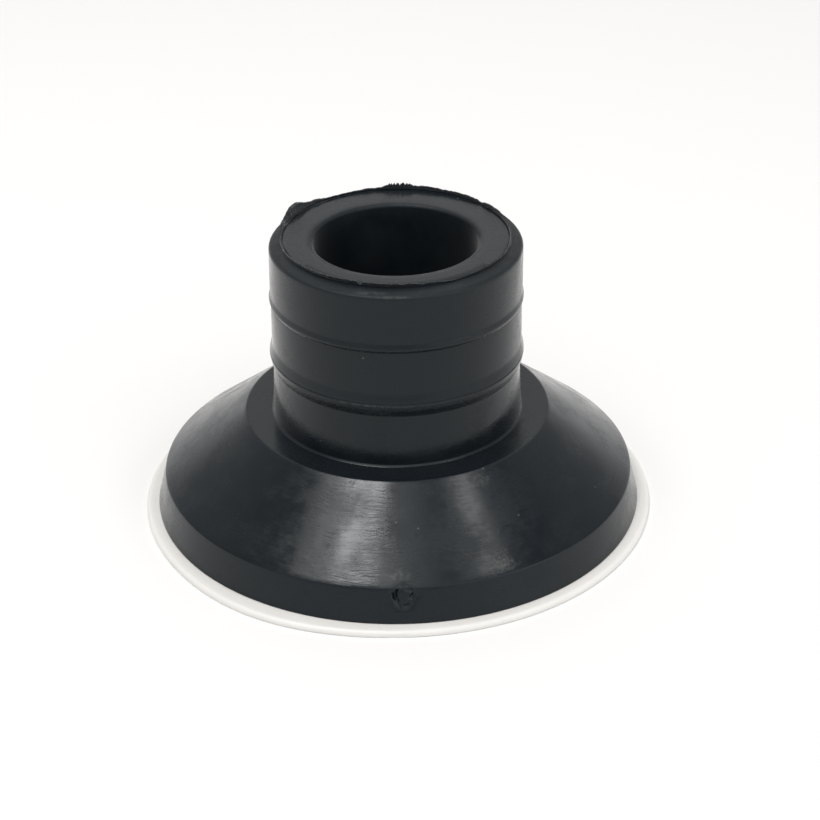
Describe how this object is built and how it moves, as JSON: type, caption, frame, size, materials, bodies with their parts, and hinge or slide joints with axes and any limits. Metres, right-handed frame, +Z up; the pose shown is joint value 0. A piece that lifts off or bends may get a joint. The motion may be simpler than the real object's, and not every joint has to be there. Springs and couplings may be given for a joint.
{
  "type": "sink plunger",
  "caption": "Small sink plunger head: black rubber cup with a thick ribbed socket neck for a handle, on a white ring seal that meets the sink.",
  "frame": {"origin": "centre of the ring's flat underside, the face that the plunger stands on", "axes": "+Z up along the socket's axis; -Y towards the side with the small moulding gate mark; +X to the right of it"},
  "size_m": [0.105, 0.105, 0.0609],
  "materials": {
    "black_rubber": "satin moulded black rubber with a faint blue-grey sheen, light scuffs and dust",
    "white_seal": "smooth satin cream-white soft plastic"
  },
  "bodies": {
    "foot": {"foot_skirt": "black_rubber", "rim_seal": "white_seal", "cup_wall": "black_rubber"},
    "neck": {"neck_socket": "black_rubber"}
  },
  "joints": [
    {"name": "pump_stroke", "type": "slide", "parent": "foot", "child": "neck", "axis": [0, 0, 1], "range_m": [-0.01, 0.003], "stiffness_N_per_m": 4000, "deforming": ["cup_wall"]}
  ]
}
